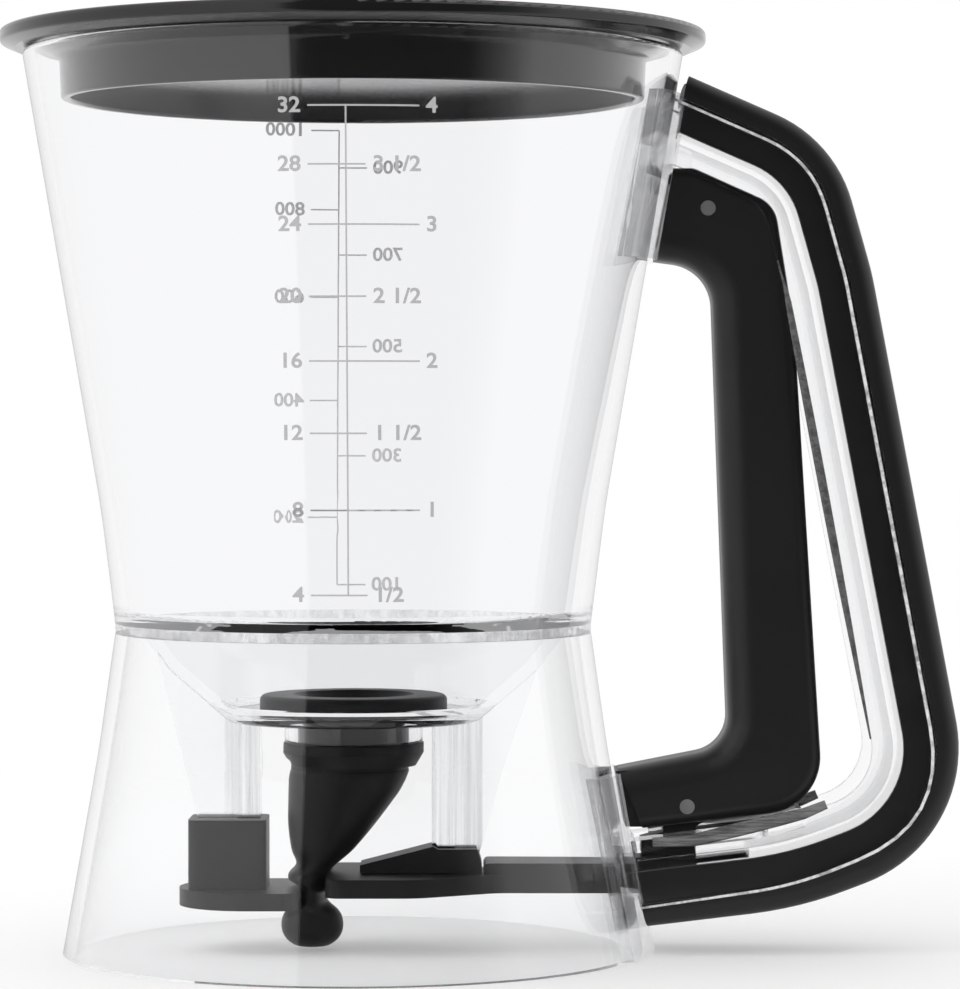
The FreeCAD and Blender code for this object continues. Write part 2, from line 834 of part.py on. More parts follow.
def straight_side_edge(edge):
    """The middle of a long straight edge on one of the trigger's two sides, or None for any other edge."""
    start, end = edge.ParameterRange
    middle = edge.valueAt((start + end) / 2)
    on_side = abs(abs(middle.y) - number(dim.trigger_half)) < 0.01
    return middle if on_side and edge.Length > number(dim.trigger_straight) else None


def finger_edge(edge):
    """Is this the side edge that the fingers pull? The rounding follows it up and down to the cut ends."""
    middle = straight_side_edge(edge)
    return middle is not None and middle.x < number(dim.trigger_split_x)


def back_edge(edge):
    """Is this the side edge that faces the channel?"""
    middle = straight_side_edge(edge)
    return middle is not None and middle.x > number(dim.trigger_split_x)


def make_pins():
    keep("pivot_pin", rod("pivot_pin", dim.pivot_x, dim.pivot_z, dim.pin_radius, dim.trigger_half))
    keep("link_pin", rod("link_pin", dim.link_x, dim.link_z, dim.pin_radius, dim.trigger_half))


def make_spring():
    """Torsion spring beside the lug: a close coil with one leg up the lug and one down in the trigger's head."""
    wire = number(dim.spring_wire)
    radius = number(dim.spring_radius)
    pitch = wire * number(dim.spring_pitch)
    length = pitch * number(dim.spring_turns)
    helix = Part.makeHelix(pitch, length, radius)
    start = helix.Edges[0].valueAt(helix.Edges[0].FirstParameter)
    section = Part.Wire(Part.makeCircle(wire / 2, start, Vector(0, 1, 0)))
    coil = Part.Wire(helix).makePipeShell([section], True, True)
    up = Part.makeCylinder(wire / 2, number(dim.spring_leg_up), Vector(radius, 0, 0), Vector(0, -1, 0))
    down = Part.makeCylinder(wire / 2, number(dim.spring_leg_down), Vector(radius, 0, length), Vector(0, 1, 0))
    shape = coil.fuse([up, down])
    item = doc.addObject("Part::Feature", "spring_shape")
    item.Shape = shape
    axis_to_y = Rotation(Vector(1, 0, 0), -90)
    lean = Rotation(Vector(0, 1, 0), number(dim.spring_lean))
    place = Vector(number(dim.pivot_x), number(dim.spring_start_y), number(dim.pivot_z))
    item.Placement = Placement(place, lean.multiply(axis_to_y))
    return keep("return_spring", item)


def make_slide():
    """Black slide: paddle under the guide, bar through the window and a tab up into the trigger."""
    paddle = slab("paddle", [
        (dim.paddle_edge, -dim.paddle_half, dim.plate_corner),
        (dim.paddle_shoulder_x, -dim.paddle_half, dim.shoulder_corner),
        (dim.paddle_neck_x, -dim.bar_half, dim.neck_corner),
        (dim.bar_end_x, -dim.bar_half),
        (dim.bar_end_x, dim.bar_half),
        (dim.paddle_neck_x, dim.bar_half, dim.neck_corner),
        (dim.paddle_shoulder_x, dim.paddle_half, dim.shoulder_corner),
        (dim.paddle_edge, dim.paddle_half, dim.plate_corner),
    ], dim.slide_bottom, dim.paddle_top)
    bar = plate("bar", [
        (dim.bar_start_x, dim.slide_bottom + 1.0),
        (dim.bar_end_x, dim.slide_bottom + 1.0),
        (dim.bar_end_x, dim.tail_bottom),
        (dim.tail_end_x, dim.tail_bottom),
        (dim.tail_end_x, dim.tail_top),
        (dim.tail_x, dim.tail_top),
        (dim.tail_x, dim.bar_top),
        (dim.bar_start_x, dim.bar_top, dim.bar_corner),
    ], dim.bar_half)
    tab_left = dim.link_x - 4.6
    tab_right = dim.link_x + 4.5
    tab_start = dim.bar_end_x - 0.6
    tab = plate("tab", [
        (tab_start, dim.tail_bottom + 1.0),
        (dim.tail_end_x, dim.tail_bottom + 1.0),
        (dim.tail_end_x, dim.link_z - 4.6),
        (tab_right, dim.link_z - 3.0),
        (tab_right, dim.tab_top, dim.tab_round),
        (tab_left, dim.tab_top, dim.tab_round),
        (tab_left, dim.tab_step + 1.2),
        (tab_start, dim.tab_step),
    ], dim.tab_half)
    reach = dim.link_slot_half + dim.link_slot_reach
    slot_round = dim.link_slot_half - 0.05
    slot = plate("link_slot", [
        (dim.link_x - dim.link_slot_half, dim.link_z - reach, slot_round),
        (dim.link_x + dim.link_slot_half, dim.link_z - reach, slot_round),
        (dim.link_x + dim.link_slot_half, dim.link_z + reach, slot_round),
        (dim.link_x - dim.link_slot_half, dim.link_z + reach, slot_round),
    ], dim.tab_half + 1.0)
    keep("slide_bar", cut("slide_bar", fuse("slide_bar", paddle, bar, tab), slot))


def make_guide(right_fin):
    """Black wedge block that the right post stands in, over the paddle."""
    bottom = dim.paddle_top + dim.guide_gap
    wedge = plate("guide", [
        (dim.guide_tip_x, bottom),
        (dim.guide_end_x, bottom),
        (dim.guide_end_x, dim.guide_flat_top - 2.8),
        (dim.guide_end_x - 0.9, dim.guide_flat_top),
        (dim.guide_flat_x, dim.guide_flat_top),
        (dim.guide_lip_x, dim.guide_lip_top),
        (dim.guide_tip_x, dim.guide_tip_top),
    ], dim.guide_half)
    keep("slide_guide", cut("slide_guide", wedge, right_fin))


def make_jaw(left_fin):
    """Black block that the left post stands in, with the plate whose edge the valve is pinched against."""
    plate_part = slab("jaw_plate", [
        (dim.jaw_left, -dim.jaw_half, dim.jaw_half - 0.1),
        (dim.jaw_edge, -dim.jaw_half, dim.plate_corner),
        (dim.jaw_edge, dim.jaw_half, dim.plate_corner),
        (dim.jaw_left, dim.jaw_half, dim.jaw_half - 0.1),
    ], dim.jaw_bottom, dim.jaw_top)
    boot = slab("jaw_block", [
        (dim.block_left, -dim.block_half, dim.block_corner),
        (dim.block_right, -dim.block_half, dim.block_corner),
        (dim.block_right, dim.block_half, dim.block_corner),
        (dim.block_left, dim.block_half, dim.block_corner),
    ], dim.jaw_top - 1.0, dim.left_socket_top)
    keep("fixed_jaw", cut("fixed_jaw", fuse("fixed_jaw", plate_part, boot), left_fin))


def ring_at(name, letter, shrink):
    """One oval of the valve's body, drawn in by a wall."""
    height = getattr(dim, f"section_height_{letter}")
    centre = getattr(dim, f"section_centre_{letter}")
    wide = getattr(dim, f"section_half_wide_{letter}") - shrink
    deep = getattr(dim, f"section_half_deep_{letter}") - shrink
    oval = doc.addObject("Part::Ellipse", f"{name}_{letter}")
    long_way, short_way = (deep, wide) if number(deep) >= number(wide) else (wide, deep)
    bind(oval, MajorRadius=long_way, MinorRadius=short_way)
    turn = 90 if number(deep) >= number(wide) else 0
    oval.Placement = Placement(Vector(number(centre), 0, number(height)), Rotation(Vector(0, 0, 1), turn))
    oval.setExpression("Placement.Base.x", centre.text)
    oval.setExpression("Placement.Base.z", height.text)
    return oval


def lofted(name, letters, shrink):
    item = doc.addObject("Part::Loft", name)
    item.Sections = [ring_at(name, letter, shrink) for letter in letters]
    item.Solid = True
    item.Ruled = True
    return item


def make_valve():
    """Silicone valve: flange inside the bowl, neck through the collar, bead under it, body pinched to a tip."""
    floor = dim.bowl_floor_height + dim.wall
    bead_top = dim.collar_bottom
    bead_low = bead_top - dim.bead_height
    axis = dim.ground
    head_low = dim.section_height_a - dim.head_overlap
    head = turned("valve_head", [
        (axis, head_low),
        (dim.section_half_wide_a + dim.head_overlap, head_low),
        (dim.bead_radius, bead_low),
        (dim.bead_radius, bead_top, dim.bead_round),
        (dim.neck_radius, bead_top),
        (dim.neck_radius, floor),
        (dim.flange_radius, floor),
        (dim.flange_radius, dim.flange_top, dim.flange_round),
        (axis, dim.flange_top),
    ])
    letters = LETTERS[: len(SECTIONS)]
    body = lofted("valve_body", letters, 0.0)
    bore = lofted("valve_bore", letters[:THROAT_SECTIONS], dim.throat_wall)
    mouth = turned("valve_mouth", [
        (axis, head_low - dim.throat_wall),
        (dim.section_half_wide_a - dim.throat_wall - dim.head_overlap, head_low - dim.throat_wall),
        (dim.neck_radius - dim.throat_wall, floor),
        (dim.neck_radius + dim.throat_wall, dim.flange_top + dim.head_overlap),
        (axis, dim.flange_top + dim.head_overlap),
    ])
    tip = lofted("valve_tip_bore", letters[-TIP_SECTIONS:], dim.tip_wall)
    lip = doc.addObject("Part::Cylinder", "valve_lip_bore")
    bind(lip, Radius=dim.lip_radius, Height=dim.section_height_l)
    lip.setExpression("Placement.Base.x", getattr(dim, f"section_centre_{letters[-1]}").text)
    valve = cut("valve", fuse("valve", head, body), bore, mouth, tip, lip)
    return keep("valve", valve)


def build():
    form = solid_form("form", 0.0)
    wide_form = solid_form("wide_form", dim.saddle_wall)
    cup = make_cup()
    make_waist_ring()
    make_skirt()
    left_fin, right_fin = make_fins(cup)
    make_lid()
    make_saddles(form, wide_form)
    rooms = slide_rooms()
    make_frame(wide_form, rooms)
    make_grip(wide_form, rooms)
    make_trigger()
    make_pins()
    make_spring()
    make_slide()
    make_guide(right_fin)
    make_jaw(left_fin)
    make_valve()
    doc.recompute()


def check_and_write():
    """Stop on any failed object or bad shape, then write one file for each sub-part."""
    for item in doc.Objects:
        bad = [word for word in item.State if word in ("Invalid", "Error")]
        if bad:
            raise RuntimeError(f"{item.Name} is {bad}")
    os.makedirs("parts", exist_ok=True)
    for name, item in nodes.items():
        shape = item.Shape
        if shape.isNull() or not shape.isValid() or not shape.Solids:
            raise RuntimeError(f"{name} has no valid solid")
        box = shape.BoundBox
        print(f"{name}: {len(shape.Solids)} solid, {shape.Volume:.0f} mm3, "
              f"x {box.XMin:.1f}..{box.XMax:.1f}, y {box.YMin:.1f}..{box.YMax:.1f}, z {box.ZMin:.1f}..{box.ZMax:.1f}")
        shape.exportStep(f"parts/{name}.step")


build()
check_and_write()
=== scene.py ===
import math

import bmesh
import bpy
from bpy.props import FloatProperty, FloatVectorProperty, PointerProperty
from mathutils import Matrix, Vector


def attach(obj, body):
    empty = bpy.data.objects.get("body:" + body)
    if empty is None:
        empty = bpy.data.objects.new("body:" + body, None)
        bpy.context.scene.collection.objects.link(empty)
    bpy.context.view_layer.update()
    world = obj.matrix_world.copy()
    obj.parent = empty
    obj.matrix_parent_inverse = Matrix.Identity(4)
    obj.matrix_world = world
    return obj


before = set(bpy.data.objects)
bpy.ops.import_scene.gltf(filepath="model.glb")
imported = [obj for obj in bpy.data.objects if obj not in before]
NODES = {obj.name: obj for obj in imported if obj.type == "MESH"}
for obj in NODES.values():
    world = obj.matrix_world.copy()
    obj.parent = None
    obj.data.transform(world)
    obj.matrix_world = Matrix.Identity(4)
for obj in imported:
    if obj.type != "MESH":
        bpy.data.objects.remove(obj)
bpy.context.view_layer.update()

bl_info = {
    "name": "Batter Dispenser Finish",
    "version": (1, 0, 0),
    "blender": (4, 5, 0),
    "location": "View3D > Sidebar > Dispenser",
    "description": "Clear cup, black grips, silicone valve and printed scale of a pancake batter dispenser",
    "category": "Object",
}

MM = 0.001

# The cup's outer face, as radius and height, from the base's collar up to the rim.
CUP_BEND_RADIUS = 51.1 * MM
CUP_BEND_HEIGHT = 90.0 * MM
UPPER_FLARE = (66.8 - 51.1) / (182.0 - 90.0)
LOWER_FLARE = (51.1 - 48.2) / (90.0 - 66.6)

# The handle's outer line in the side view, in millimetres: X, Z and the radius of each corner, from the rim
# down to the base.
HANDLE_CORNERS = (
    (62.0, 178.95, 0.0),
    (96.8, 163.7, 27.0),
    (104.3, 137.0, 60.0),
    (125.9, 23.2, 29.0),
    (90.0, 9.5, 80.0),
    (54.0, 5.2, 0.0),
)
HANDLE_STEP = 2.5
CORNER_STEPS = 8

# The frame's lines of painted light and shade (a painted glint, a painted dark streak and painted shade
# along the slotted floor), in millimetres: how far off the middle plane each lies, how far it stands proud
# of that, and how much of its width it loses towards its ends.
GLINT_BEAD = {"level": 12.35, "half_tall": 0.36, "taper": 0.3}
DARK_STREAK_BEAD = {"level": 11.9, "half_tall": 0.3, "taper": 0.8}
FLOOR_SHADE_BEAD = {"level": 11.8, "half_tall": 0.35, "taper": 0.35}
BEAD_SIDES = 10

# Where the painted glint ends at the cup and at the skirt, the height under which the handle runs along
# the bottom, and where on the bottom the glint begins to near the outer line, over which length.
GLINT_CUP_END = 63.5
GLINT_SKIRT_END = 57.5
HANDLE_BOTTOM = 30.0
DROP_START = 118.0
DROP_LENGTH = 50.0

# The lowest and highest point of the painted dark streak inside the frame.
DARK_STREAK_LOW = 43.0
DARK_STREAK_HIGH = 141.0

# The side edge of the frame's slotted floor, as X and Z, along which runs a line of painted shade.
FLOOR_EDGE = ((57.5, 22.9), (68.5, 23.4), (90.4, 28.7), (95.0, 30.6))

# The tongue of the trigger's lower end in the side view, as X and Z, and half its width.
TONGUE_OUTLINE = ((53.0, 36.9), (57.8, 37.0), (60.4, 26.2), (59.6, 25.6), (55.0, 25.6))
TONGUE_HALF_WIDTH = 6.5

# The valve's skin from its shoulder to its tip: height, middle, half width and half depth. The rows at 15.8
# and 14.6 swell to the left, where the squeezed wall is pushed up over the fixed jaw.
VALVE_SKIN = (
    (37.2, -0.8, 11.4, 11.5),
    (36.4, -0.9, 12.15, 12.3),
    (33.0, -1.75, 11.5, 12.05),
    (30.5, -2.6, 10.7, 11.85),
    (25.5, -4.5, 8.8, 11.45),
    (20.6, -6.25, 6.4, 11.0),
    (18.3, -7.1, 4.6, 10.7),
    (17.1, -7.9, 4.0, 10.3),
    (15.8, -9.0, 4.1, 10.15),
    (14.6, -9.3, 3.9, 10.0),
    (13.5, -8.5, 3.0, 9.8),
    (12.4, -8.2, 2.75, 9.6),
    (10.4, -8.2, 2.75, 9.2),
    (9.3, -8.3, 3.6, 8.5),
    (8.2, -8.4, 5.1, 7.9),
    (6.9, -8.4, 6.0, 7.5),
    (5.2, -8.4, 6.3, 7.1),
    (3.5, -8.4, 6.0, 6.6),
    (2.1, -8.4, 5.1, 5.6),
    (1.2, -8.4, 3.9, 4.3),
    (0.9, -8.4, 3.2, 3.5),
)
RINGS_PER_ROW = 4
SKIN_SIDES = 64

# Printed marks: the number on the left, the number on the right, and the mark's height.
FRONT_MARKS = (
    ("32", "4", 166.5),
    ("28", "3 1/2", 155.6),
    ("24", "3", 144.4),
    ("20", "2 1/2", 130.9),
    ("16", "2", 118.7),
    ("12", "1 1/2", 105.0),
    ("8", "1", 90.3),
    ("4", "1/2", 74.0),
)
BACK_MARKS = (
    (1000, 170.9),
    (900, 162.7),
    (800, 153.5),
    (700, 143.6),
    (600, 134.4),
    (500, 123.7),
    (400, 112.0),
    (300, 100.1),
    (200, 86.6),
    (100, 72.0),
)

# The longest flat stretch of a printed line, and how many pieces the long upright line is cut into.
PRINT_STEP = 1.5 * MM
UPRIGHT_PIECES = 24

# Clear plastic: how strongly it bends light, the crossings after which a ray has reached the far wall, the
# turns after which light has run long inside a wall, how fine the painted shade outline is, the height
# above which the cup's far wall bends nothing, and how far off the middle the fins' posts, which carry
# streaks of painted shade, begin and end.
CLEAR_IOR = 1.42
NEAR_WALL_CROSSINGS = 1.5
LONGEST_RUN = 5.5
OUTLINE_FINENESS = 14.0
CUP_PLAIN_ABOVE = 50.0 * MM
POST_INNER = 15.5 * MM
POST_OUTER = 26.2 * MM

# The dark room in front, which only a first reflection sees: how much light it takes away, up to how many
# crossings of clear walls it is seen, and where it fades out on the open right side, as metres across a
# metre ahead. The last value is the place on the cup's front that mirrors the soft box's edge, as X and Y.
ROOM_DARKNESS = 0.97
ROOM_CROSSINGS = 4.5
OPEN_SIDE_START = 1.0
OPEN_SIDE_END = 2.8
CUP_FRONT = (-0.0095, -0.06)

# The soft light on the left, in metres, and the squares along each side of the floor.
KEY_WIDTH = 0.9
KEY_HEIGHT = 1.2
KEY_PLACE = Vector((-1.1, -0.5, 1.0))
KEY_AIM = Vector((0.0, 0.0, 0.05))
FLOOR_SQUARES = 8


class Value:
    """A shader socket that takes part in arithmetic."""

    def __init__(self, shader, socket):
        self.shader = shader
        self.socket = socket

    def _math(self, operation, *values):
        return self.shader.node("ShaderNodeMath", {"operation": operation}, dict(enumerate(values)))

    def __add__(self, other):
        return self._math("ADD", self, other)

    __radd__ = __add__

    def __mul__(self, other):
        return self._math("MULTIPLY", self, other)

    __rmul__ = __mul__

    def __sub__(self, other):
        return self._math("SUBTRACT", self, other)

    def __rsub__(self, other):
        return self._math("SUBTRACT", other, self)

    def __truediv__(self, other):
        return self._math("DIVIDE", self, other)

    def __pow__(self, other):
        return self._math("POWER", self, other)

    def __abs__(self):
        return self._math("ABSOLUTE", self)

    def __lt__(self, other):
        return self._math("LESS_THAN", self, other)

    def __gt__(self, other):
        return self._math("GREATER_THAN", self, other)

    def out(self, name):
        """Another output of the same node."""
        return Value(self.shader, self.socket.node.outputs[name])


class Shader:
    """Adds nodes to a material or world, one call a node."""

    def __init__(self, owner):
        self.owner = owner
        owner.use_nodes = True
        self.tree = owner.node_tree
        self.tree.nodes.clear()

    def node(self, kind, settings=None, inputs=None, out=0):
        made = self.tree.nodes.new(kind)
        for key, setting in (settings or {}).items():
            if key == "stops":
                self.set_stops(made.color_ramp, setting)
            else:
                setattr(made, key, setting)
        for key, item in (inputs or {}).items():
            if isinstance(item, Value):
                self.tree.links.new(item.socket, made.inputs[key])
            else:
                made.inputs[key].default_value = item
        return Value(self, made.outputs[out]) if made.outputs else made

    def set_stops(self, ramp, stops):
        while len(ramp.elements) < len(stops):
            ramp.elements.new(1.0)
        for element, (place, level) in zip(ramp.elements, stops):
            element.position = place
            element.color = (level, level, level, 1.0)

    def blend(self, mask, first, second):
        """A colour between two others, from a Mix node's colour sockets."""
        return self.node("ShaderNodeMix", {"data_type": "RGBA"}, {0: mask, 6: first, 7: second}, out=2)

    def ramp(self, mask, *stops):
        return self.node("ShaderNodeValToRGB", {"stops": stops}, {0: mask})

    def place(self, name="Object"):
        return self.node("ShaderNodeTexCoord").out(name)

    def split(self, vector):
        """A node whose outputs are X, Y and Z."""
        return self.node("ShaderNodeSeparateXYZ", None, {0: vector})

    def facing(self):
        """0 where a face is seen square on, 1 where it is seen edge on."""
        return self.node("ShaderNodeLayerWeight", None, {"Blend": 0.5}).out("Facing")

    def noise(self, scale, detail=2.0, stretch=None, roughness=0.5):
        where = self.place()
        if stretch:
            where = self.node("ShaderNodeMapping", None, {"Vector": where, "Scale": stretch})
        inputs = {"Vector": where, "Scale": scale, "Detail": detail, "Roughness": roughness}
        return self.node("ShaderNodeTexNoise", None, inputs)

    def bump(self, height, strength, distance):
        inputs = {"Height": height, "Strength": strength, "Distance": distance}
        return self.node("ShaderNodeBump", None, inputs)

    def principled(self, **sockets):
        named = {key.replace("_", " "): item for key, item in sockets.items()}
        return self.node("ShaderNodeBsdfPrincipled", None, named)

    def transparent(self, colour):
        return self.node("ShaderNodeBsdfTransparent", None, {"Color": rgb(colour)})

    def emission(self, colour):
        return self.node("ShaderNodeEmission", None, {"Color": rgb(colour), "Strength": 1.0})

    def mix(self, factor, first, second):
        return self.node("ShaderNodeMixShader", None, {0: factor, 1: first, 2: second})

    def finish(self, surface, kind="ShaderNodeOutputMaterial"):
        self.node(kind, None, {"Surface": surface})
        return self.owner


def rgb(colour):
    return (*colour, 1.0)


def scaled(colour, factor):
    return tuple(channel * factor for channel in colour)


def new_shader(name):
    return Shader(bpy.data.materials.new(name))


def see_through(s, look, body, thin, plain_above=1.0, outline=0.0):
    """Clear plastic with a pale shadow. A thin wall bends only part of what is behind it, a far wall above a
    height bends nothing, light that has run long inside a wall leaves it, and a wall that curves out of
    sight draws a fine grey outline of painted shade."""
    pale = s.transparent(look.clear_shadow)
    # Painted shade: a grey outline where the wall curves out of sight.
    curves_away = s.facing() ** OUTLINE_FINENESS * outline
    wall = s.mix(curves_away, s.mix(thin, body, pale), s.transparent(look.outline))
    path = s.node("ShaderNodeLightPath")
    high = s.split(s.place()).out("Z") > plain_above
    far_wall = high * (path.out("Transmission Depth") > NEAR_WALL_CROSSINGS)
    solid = (1.0 - path.out("Is Shadow Ray")) * (path.out("Ray Depth") < LONGEST_RUN) * (1.0 - far_wall)
    return s.mix(solid, pale, wall)


def clear_plastic(look, name, edge_power, edge=1.0, ripple=0.05, thin=0.0, plain_above=1.0, outline=0.0):
    """Polished clear plastic with painted shade where it is seen edge on, and faint moulding ripples."""
    s = new_shader(name)
    haze = s.noise(scale=9.0, detail=3.0)
    swirl = s.noise(scale=38.0, detail=1.5, stretch=(1.0, 1.0, 0.45))
    # Painted shade: the colour darkens to the edge shade where the wall is seen edge on.
    edge_shade = scaled(look.clear_edge, edge)
    body = s.principled(
        Base_Color=s.blend(s.facing() ** edge_power, rgb(look.clear_tint), rgb(edge_shade)),
        Roughness=haze * 0.02 + 0.004,
        IOR=CLEAR_IOR,
        Transmission_Weight=1.0,
        Normal=s.bump(swirl, strength=ripple, distance=0.0006),
    )
    return s.finish(see_through(s, look, body, thin, plain_above, outline))


def fin_clear(look):
    """Clear plastic of the two fins, with grey streaks of painted shade drawn along their round posts."""
    s = new_shader("fin_clear")
    off_middle = abs(s.split(s.place()).out("X"))
    post = (off_middle > POST_INNER) * (off_middle < POST_OUTER)
    # Painted shade: grey streaks drawn along the fins' round posts.
    streak = s.ramp(s.noise(scale=900.0, stretch=(1.0, 1.0, 0.02)), (0.4, 0.0), (0.65, 1.0))
    body = s.principled(
        Base_Color=s.blend(post * streak, rgb(look.clear_tint), rgb((0.6, 0.61, 0.62))),
        Roughness=streak * 0.05 + 0.01,
        IOR=CLEAR_IOR,
        Transmission_Weight=1.0,
        Normal=s.bump(streak * post, strength=0.5, distance=0.0005),
    )
    return s.finish(see_through(s, look, body, thin=0.2))


def rough_weld(look):
    """The joint band at the waist, where melted plastic is speckled."""
    s = new_shader("weld_plastic")
    speckle = s.noise(scale=420.0, detail=4.0, stretch=(1.0, 1.0, 0.6), roughness=0.7)
    patch = s.ramp(speckle, (0.42, 0.0), (0.62, 1.0))
    body = s.principled(
        Base_Color=s.blend(patch, rgb(look.clear_tint), rgb((0.55, 0.56, 0.57))),
        Roughness=speckle * 0.35 + 0.04,
        IOR=CLEAR_IOR,
        Transmission_Weight=1.0,
        Normal=s.bump(speckle, strength=0.6, distance=0.0004),
    )
    return s.finish(see_through(s, look, body, thin=0.5))


def black_plastic(look, name, grain, depth, rough, gloss=0.5):
    """Black moulded plastic with a fine even grain, and a slightly polished look on its worn patches."""
    s = new_shader(name)
    pores = s.noise(scale=grain, detail=3.0, roughness=0.6)
    cloud = s.noise(scale=26.0, detail=3.0)
    smoothest, roughest = rough
    body = s.principled(
        Base_Color=s.blend(cloud, rgb(scaled(look.black, 0.75)), rgb(scaled(look.black, 1.35))),
        Roughness=cloud * (roughest - smoothest) + smoothest + pores * 0.06,
        IOR=1.5,
        Specular_IOR_Level=gloss,
        Normal=s.bump(pores, strength=depth, distance=0.0001),
    )
    return s.finish(body)


def soft_rubber(look):
    """Soft-touch grip: matt black with a fine leathery skin and a soft sheen."""
    s = new_shader("soft_grip")
    skin = s.node("ShaderNodeTexVoronoi", {"feature": "F1"}, {"Vector": s.place(), "Scale": 1500.0})
    cloud = s.noise(scale=30.0, detail=4.0)
    dust = s.noise(scale=700.0, detail=5.0, roughness=0.75)
    motes = s.ramp(dust, (0.62, 0.0), (0.74, 0.25))
    body = s.principled(
        Base_Color=s.blend(motes, rgb(look.grip), rgb((0.055, 0.055, 0.056))),
        Roughness=cloud * 0.16 + 0.36,
        IOR=1.45,
        Sheen_Weight=0.06,
        Sheen_Roughness=0.4,
        Normal=s.bump(skin * 0.6 + cloud * 0.4, strength=0.1, distance=0.00012),
    )
    return s.finish(body)


def silicone(look):
    """Black silicone: matt, with painted highlight specks and soft moulding ripples."""
    s = new_shader("silicone")
    speck_noise = s.noise(scale=160.0, detail=6.0, roughness=0.7)
    streak = s.noise(scale=60.0, detail=3.0, stretch=(1.0, 1.0, 0.2))
    # Painted highlight: lighter specks on the black silicone.
    highlight_specks = s.ramp(speck_noise, (0.5, 0.0), (0.8, 1.0))
    body = s.principled(
        Base_Color=s.blend(highlight_specks, rgb(look.silicone), rgb((0.014, 0.014, 0.0145))),
        Roughness=streak * 0.2 + 0.34,
        IOR=1.41,
        Specular_IOR_Level=0.25,
        Normal=s.bump(speck_noise * 0.5 + streak, strength=0.18, distance=0.0004),
    )
    return s.finish(body)


def rim_gloss(name, pale, dark, stretch=(1.0, 1.0, 1.0)):
    """Painted light or shade along an edge of a clear wall: a line of painted highlight or painted shade,
    broken by specks.
    """
    s = new_shader(name)
    grit = s.noise(scale=500.0, detail=4.0, stretch=stretch, roughness=0.7)
    specks = s.ramp(grit, (0.35, 0.0), (0.6, 1.0))
    body = s.principled(
        Base_Color=s.blend(specks, rgb((dark,) * 3), rgb((pale,) * 3)),
        Roughness=specks * 0.2 + 0.15,
        IOR=1.49,
        Normal=s.bump(specks, strength=0.2, distance=0.00008),
    )
    return s.finish(body)


def pin_steel(look):
    """Turned steel with rings from the lathe and a dull, handled surface."""
    s = new_shader("pin_steel")
    rings = s.noise(scale=2600.0, stretch=(1.0, 0.05, 1.0))
    stain = s.noise(scale=240.0, detail=4.0)
    body = s.principled(
        Base_Color=s.blend(stain, rgb((0.23, 0.23, 0.235)), rgb(look.steel)),
        Metallic=0.85,
        Roughness=rings * 0.2 + 0.34,
        Normal=s.bump(rings, strength=0.1, distance=0.00005),
    )
    return s.finish(body)


def scale_ink(name, colour):
    """Pad-printed grey ink with tiny pinholes and a slightly raised matt skin."""
    s = new_shader(name)
    speck = s.noise(scale=2200.0, detail=4.0, roughness=0.7)
    holes = s.ramp(speck, (0.3, 0.0), (0.46, 1.0))
    body = s.principled(
        Base_Color=s.blend(holes, rgb(scaled(colour, 0.8)), rgb(colour)),
        Roughness=speck * 0.2 + 0.45,
        Normal=s.bump(speck, strength=0.1, distance=0.00003),
    )
    return s.finish(body)


def dress(material, *names):
    """Give CAD nodes a material."""
    for name in names:
        mesh = NODES[name].data
        mesh.materials.clear()
        mesh.materials.append(material)


def cup_radius(height):
    """Radius of the cup's outer face at a height."""
    rise = height - CUP_BEND_HEIGHT
    return CUP_BEND_RADIUS + rise * (UPPER_FLARE if rise > 0.0 else LOWER_FLARE)


def wrap_on_cup(mesh, side, proud):
    """Bend a flat print, drawn in X and Z with its thickness in Y, around the front or back of the cup."""
    for vertex in mesh.vertices:
        across, depth, height = vertex.co
        radius = cup_radius(height)
        turn = across / radius
        reach = radius + proud - depth
        vertex.co = Vector((side * reach * math.sin(turn), -side * reach * math.cos(turn), height))
    mesh.update()


def join_rings(bm, rings):
    """Skin a row of rings and close both ends."""
    sides = len(rings[0])
    for near, far in zip(rings, rings[1:]):
        for a in range(sides):
            b = (a + 1) % sides
            bm.faces.new((near[a], near[b], far[b], far[a]))
    bm.faces.new(rings[0][::-1])
    bm.faces.new(rings[-1])


def finished_piece(bm, name, material, smooth=False):
    """Turn a bmesh into a piece with a material."""
    bmesh.ops.recalc_face_normals(bm, faces=bm.faces)
    mesh = bpy.data.meshes.new(name)
    bm.to_mesh(mesh)
    bm.free()
    for face in mesh.polygons:
        face.use_smooth = smooth
    mesh.materials.append(material)
    piece = bpy.data.objects.new(name, mesh)
    bpy.context.scene.collection.objects.link(piece)
    return piece


def smooth_row(rows, place):
    """A row between the rows of a table, on a smooth curve through all of them."""
    last = len(rows) - 1
    here = min(int(place), last - 1)
    t = place - here
    a, b, c, d = (rows[min(max(here + step, 0), last)] for step in (-1, 0, 1, 2))
    return [
        0.5 * (2 * q + (r - p) * t + (2 * p - 5 * q + 4 * r - s) * t * t + (3 * q - p - 3 * r + s) * t ** 3)
        for p, q, r, s in zip(a, b, c, d)
    ]


